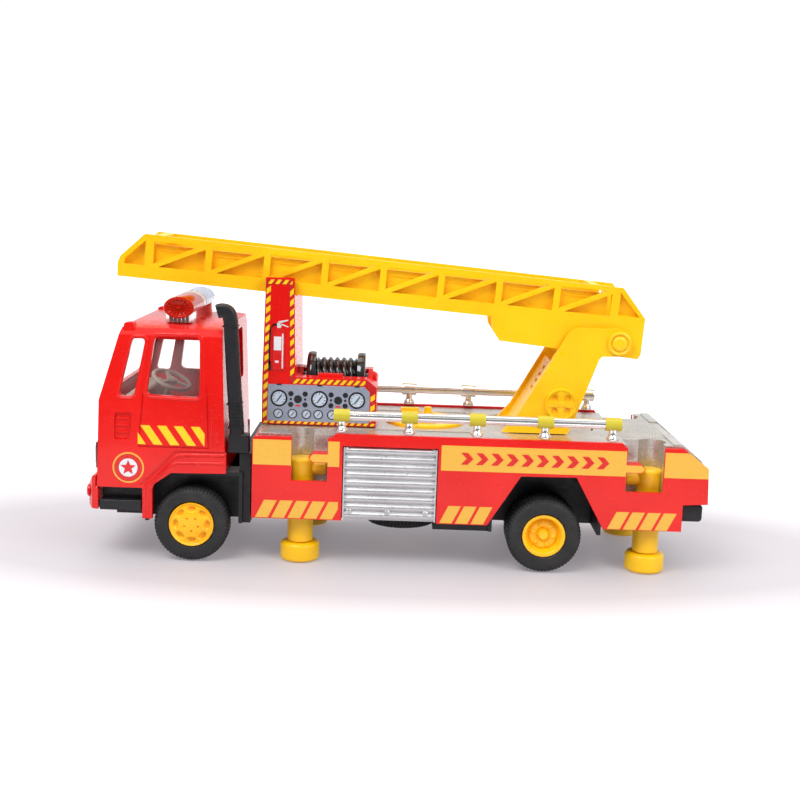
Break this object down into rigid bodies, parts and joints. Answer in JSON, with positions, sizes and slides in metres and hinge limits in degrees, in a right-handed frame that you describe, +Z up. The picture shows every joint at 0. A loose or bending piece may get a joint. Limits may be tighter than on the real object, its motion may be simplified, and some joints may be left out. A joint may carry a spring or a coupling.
{
  "type": "toy ladder fire engine",
  "caption": "Toy fire engine with a swivelling, raising and extending ladder, rolling wheels, sliding outriggers and a hose reel.",
  "frame": {"origin": "on the ground under the middle of the engine's box", "axes": "+X towards the rear, +Y towards the engine's right side, +Z up"},
  "size_m": [0.1944, 0.06, 0.1015],
  "materials": {
    "body_red": "glossy moulded plastic",
    "bumper_red": "glossy moulded plastic",
    "seat_red": "satin moulded plastic",
    "ladder_yellow": "satin moulded plastic",
    "hub_yellow": "glossy moulded plastic",
    "deck_silver": "silver vacuum-metallised plastic",
    "shutter_silver": "silver vacuum-metallised plastic",
    "rail_chrome": "bright vacuum-metallised plastic",
    "steel": "drawn steel",
    "black_plastic": "satin moulded plastic",
    "black_gloss": "glossy moulded plastic",
    "tyre_rubber": "matt rubber",
    "interior_beige": "satin moulded plastic",
    "clear_plastic": "clear moulded plastic",
    "lens_red": "tinted clear plastic",
    "lens_blue": "tinted clear plastic"
  },
  "bodies": {
    "chassis": {"cab_shell": "body_red", "bed_shell": "body_red", "pump_tower": "body_red", "front_bumper": "bumper_red", "cab_seats": "seat_red", "spare_hub": "hub_yellow", "spare_tyre": "tyre_rubber", "deck_tray": "deck_silver", "side_shutter_left": "shutter_silver", "side_shutter_right": "shutter_silver", "side_rail_left": "rail_chrome", "side_rail_right": "rail_chrome", "lightbar_base": "rail_chrome", "spare_screw": "steel", "pan_screw_front": "steel", "pan_screw_middle": "steel", "pan_screw_rear": "steel", "chassis_pan": "black_plastic", "motor_case": "black_plastic", "front_grille": "black_plastic", "cab_step_left": "black_plastic", "cab_step_right": "black_plastic", "exhaust_stack": "black_plastic", "rear_bumper": "black_plastic", "cab_interior": "interior_beige", "steering_wheel": "interior_beige", "cab_glazing": "clear_plastic", "headlight_left": "clear_plastic", "headlight_right": "clear_plastic", "lightbar_lens_clear": "clear_plastic", "lightbar_lens_red": "lens_red", "lightbar_lens_blue": "lens_blue"},
    "front_wheels": {"front_axle": "steel", "front_hub_left": "hub_yellow", "front_hub_right": "hub_yellow", "front_tyre_left": "tyre_rubber", "front_tyre_right": "tyre_rubber"},
    "rear_wheels": {"rear_axle": "steel", "rear_hub_left": "hub_yellow", "rear_hub_right": "hub_yellow", "rear_tyre_left": "tyre_rubber", "rear_tyre_right": "tyre_rubber"},
    "mast": {"mast_frame": "ladder_yellow", "turntable": "deck_silver", "swivel_screw": "steel", "pivot_pin": "ladder_yellow"},
    "ladder": {"outer_ladder": "ladder_yellow"},
    "ladder_extension": {"inner_ladder": "ladder_yellow"},
    "reel": {"hose_reel": "black_gloss"},
    "winch_wheel": {"deck_wheel": "ladder_yellow"},
    "foot_front_left": {"outrigger_foot_front_left": "ladder_yellow"},
    "leg_front_left": {"outrigger_leg_front_left": "ladder_yellow"},
    "foot_front_right": {"outrigger_foot_front_right": "ladder_yellow"},
    "leg_front_right": {"outrigger_leg_front_right": "ladder_yellow"},
    "foot_rear_left": {"outrigger_foot_rear_left": "ladder_yellow"},
    "leg_rear_left": {"outrigger_leg_rear_left": "ladder_yellow"},
    "foot_rear_right": {"outrigger_foot_rear_right": "ladder_yellow"},
    "leg_rear_right": {"outrigger_leg_rear_right": "ladder_yellow"}
  },
  "joints": [
    {"name": "front_axle_roll", "type": "hinge", "parent": "chassis", "child": "front_wheels", "pos_m": [-0.0645, 0, 0.0118], "axis": [0, 1, 0], "continuous": true},
    {"name": "rear_axle_roll", "type": "hinge", "parent": "chassis", "child": "rear_wheels", "pos_m": [0.0467, 0, 0.0118], "axis": [0, 1, 0], "continuous": true},
    {"name": "turntable_swivel", "type": "hinge", "parent": "chassis", "child": "mast", "pos_m": [0.0443, 0, 0.042], "axis": [0, 0, 1], "continuous": true},
    {"name": "ladder_raise", "type": "hinge", "parent": "mast", "child": "ladder", "pos_m": [0.0694, 0, 0.0718], "axis": [0, 1, 0], "range_deg": [0, 60]},
    {"name": "ladder_extend", "type": "slide", "parent": "ladder", "child": "ladder_extension", "axis": [-0.9972, 0, 0.075], "range_m": [0, 0.095]},
    {"name": "hose_reel_turn", "type": "hinge", "parent": "chassis", "child": "reel", "pos_m": [-0.0212, 0, 0.056], "axis": [1, 0, 0], "continuous": true},
    {"name": "winch_wheel_turn", "type": "hinge", "parent": "chassis", "child": "winch_wheel", "pos_m": [0.0084, 0, 0.0424], "axis": [0, 0, 1], "continuous": true},
    {"name": "outrigger_slide_front_left", "type": "slide", "parent": "chassis", "child": "foot_front_left", "axis": [0, 0, 1], "range_m": [0, 0.011]},
    {"name": "outrigger_turn_front_left", "type": "hinge", "parent": "foot_front_left", "child": "leg_front_left", "pos_m": [-0.0307, -0.0217, 0.005], "axis": [0, 0, 1], "range_deg": [-80, 0]},
    {"name": "outrigger_slide_front_right", "type": "slide", "parent": "chassis", "child": "foot_front_right", "axis": [0, 0, 1], "range_m": [0, 0.011]},
    {"name": "outrigger_turn_front_right", "type": "hinge", "parent": "foot_front_right", "child": "leg_front_right", "pos_m": [-0.0307, 0.0217, 0.005], "axis": [0, 0, 1], "range_deg": [0, 80]},
    {"name": "outrigger_slide_rear_left", "type": "slide", "parent": "chassis", "child": "foot_rear_left", "axis": [0, 0, 1], "range_m": [0, 0.011]},
    {"name": "outrigger_turn_rear_left", "type": "hinge", "parent": "foot_rear_left", "child": "leg_rear_left", "pos_m": [0.0802, -0.0217, 0.005], "axis": [0, 0, 1], "range_deg": [0, 80]},
    {"name": "outrigger_slide_rear_right", "type": "slide", "parent": "chassis", "child": "foot_rear_right", "axis": [0, 0, 1], "range_m": [0, 0.011]},
    {"name": "outrigger_turn_rear_right", "type": "hinge", "parent": "foot_rear_right", "child": "leg_rear_right", "pos_m": [0.0802, 0.0217, 0.005], "axis": [0, 0, 1], "range_deg": [-80, 0]}
  ]
}
